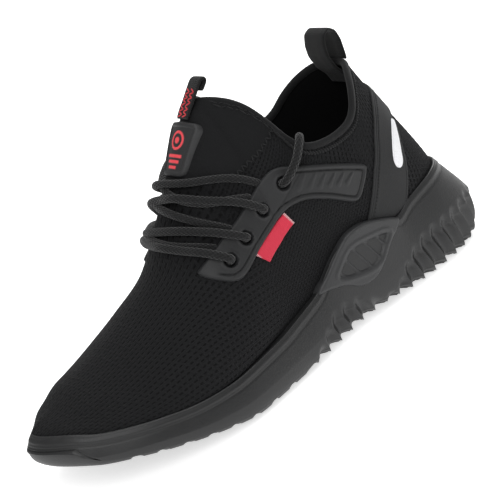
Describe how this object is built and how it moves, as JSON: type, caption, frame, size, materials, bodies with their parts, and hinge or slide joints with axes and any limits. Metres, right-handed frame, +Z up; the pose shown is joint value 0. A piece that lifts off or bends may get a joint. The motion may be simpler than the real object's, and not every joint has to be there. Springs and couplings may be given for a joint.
{
  "type": "work shoe",
  "caption": "Low knitted safety trainer with a ribbed cup sole, laced eyestays, a tongue badge, a heel band and a webbing pull loop at the collar.",
  "frame": {"origin": "middle of the shoe's box at the floor, measured without the free end of the lace", "axes": "+X points to the toe, +Y to the wearer's left, which is this left shoe's outer side, and +Z up"},
  "size_m": [0.298, 0.1066, 0.1532],
  "materials": {
    "outsole": "satin moulded rubber",
    "midsole": "satin moulded foam rubber",
    "trim": "satin moulded sheet",
    "knit": "ribbed knit",
    "lining": "soft lining",
    "badge": "satin moulded rubber",
    "reflector": "reflective film",
    "tag": "woven label",
    "webbing": "matte webbing",
    "lace": "round braid"
  },
  "bodies": {
    "root": {"outsole": "outsole", "midsole": "midsole", "stabilizer_lateral": "trim", "stabilizer_medial": "trim", "upper": "knit", "insole": "lining", "eyestay_lateral": "trim", "eyestay_medial": "trim", "heel_band": "trim", "heel_reflector_lateral": "reflector", "heel_reflector_medial": "reflector", "side_tag": "tag", "tongue_patch": "badge", "tongue_pull_tab": "webbing", "heel_pull_loop": "webbing", "laces_lower": "lace", "laces_upper": "lace", "lace_end_lateral": "lace"}
  },
  "joints": []
}
